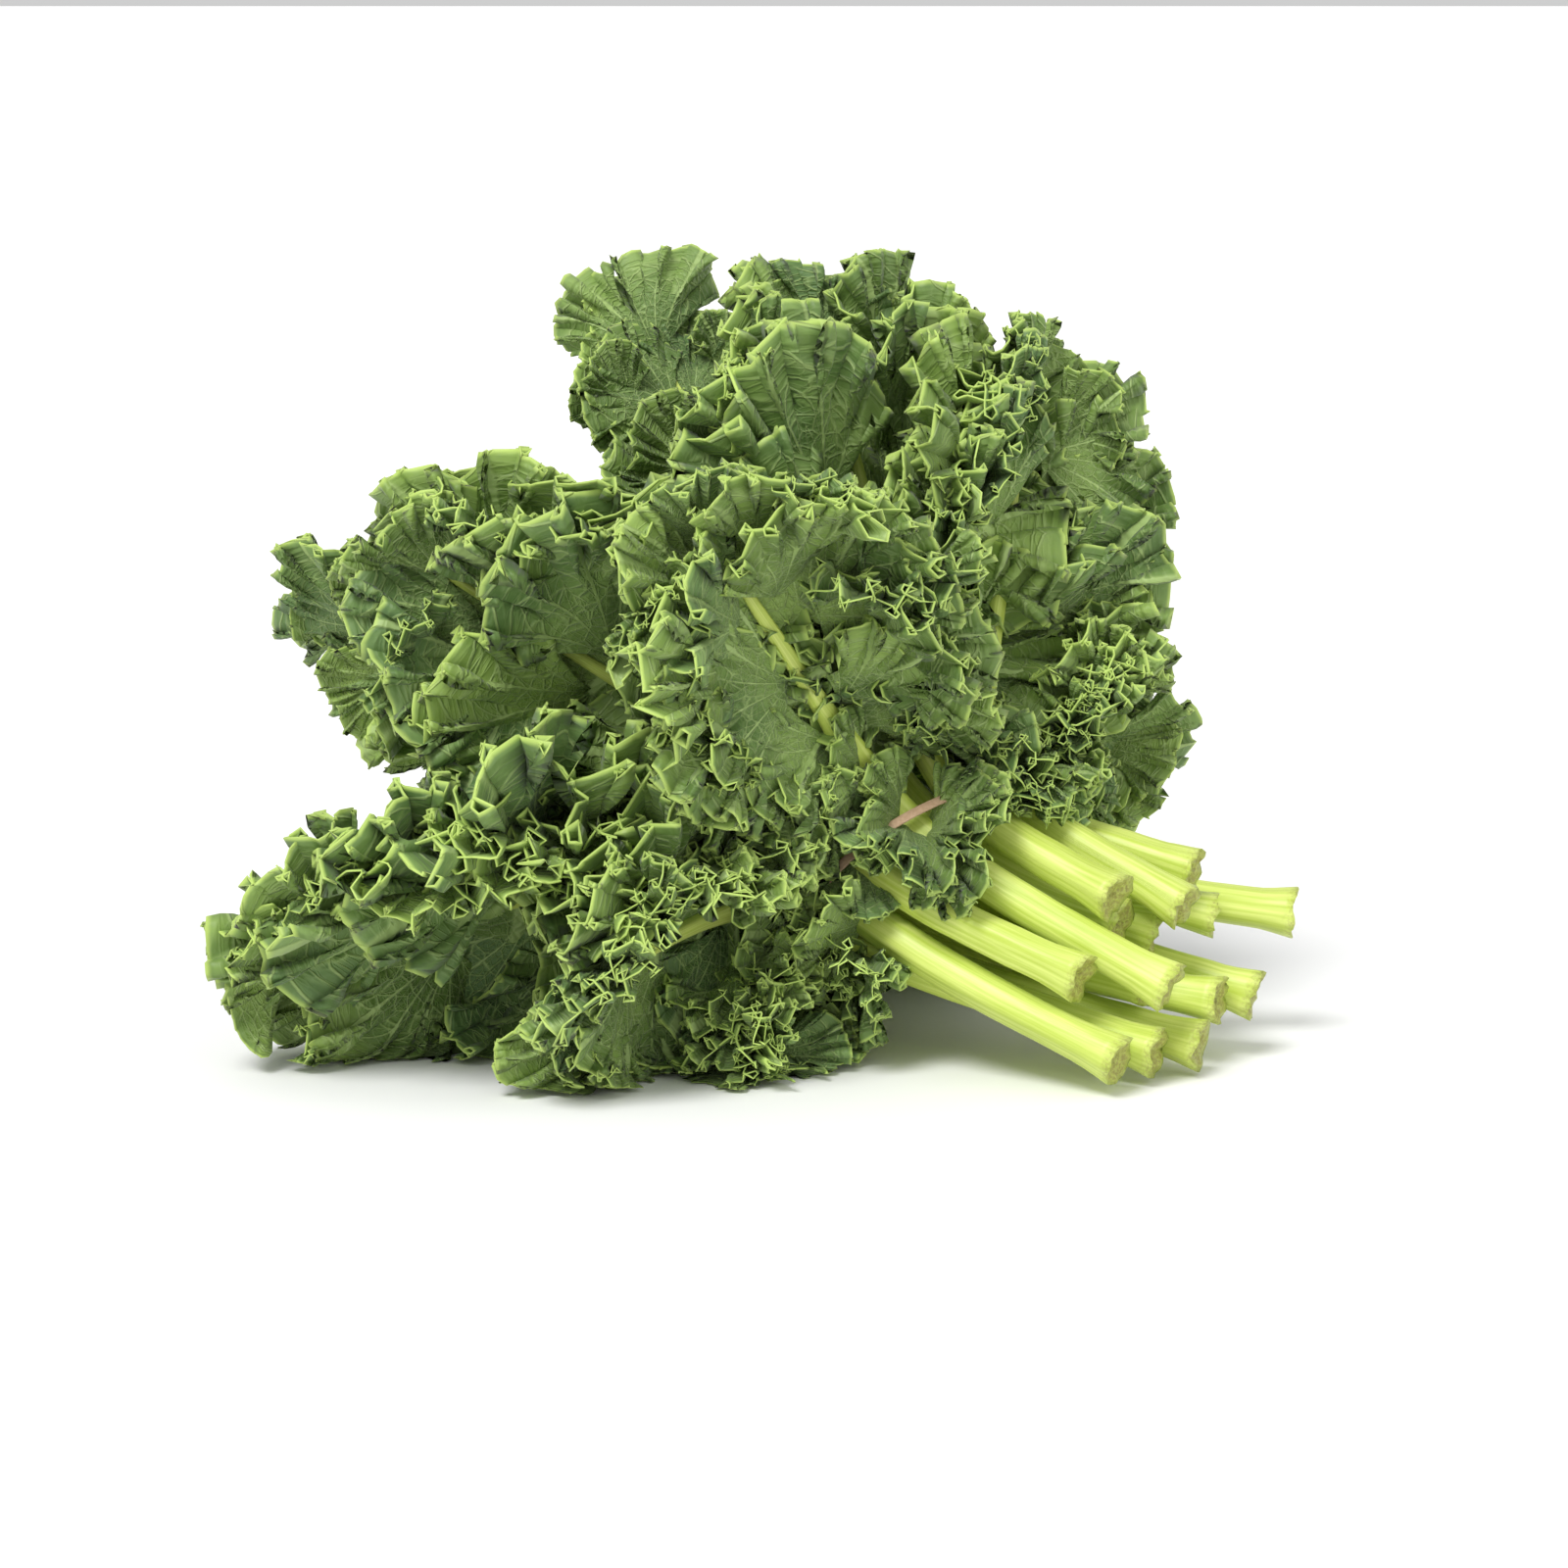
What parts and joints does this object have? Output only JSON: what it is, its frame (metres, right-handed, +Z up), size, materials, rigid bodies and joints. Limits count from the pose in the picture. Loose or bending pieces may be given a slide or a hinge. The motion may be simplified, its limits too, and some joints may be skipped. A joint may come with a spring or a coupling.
{
  "type": "kale bunch",
  "caption": "Bunch of curly kale lying on its side: frilled leaves on thick pale stalks, held together by a rubber band.",
  "frame": {"origin": "on the table under the middle of the bunch's box", "axes": "+X along the bunch towards the cut stalks' side, -Y towards the cut ends and the viewer, +Z up"},
  "size_m": [0.3604, 0.2811, 0.2588],
  "materials": {
    "leaf": "soft waxy sheen",
    "band": "dull"
  },
  "bodies": {
    "root": {"leaf_left_low": "leaf", "leaf_front_left": "leaf", "leaf_front_low": "leaf", "leaf_left_high": "leaf", "leaf_centre": "leaf", "leaf_top": "leaf", "leaf_right_high": "leaf", "leaf_right_low": "leaf", "leaf_left_back": "leaf", "leaf_tall_flat": "leaf", "leaf_back_right": "leaf", "leaf_back_low": "leaf", "leaf_back_left": "leaf", "leaf_back_up": "leaf", "leaf_heart": "leaf", "rubber_band": "band"}
  },
  "joints": []
}
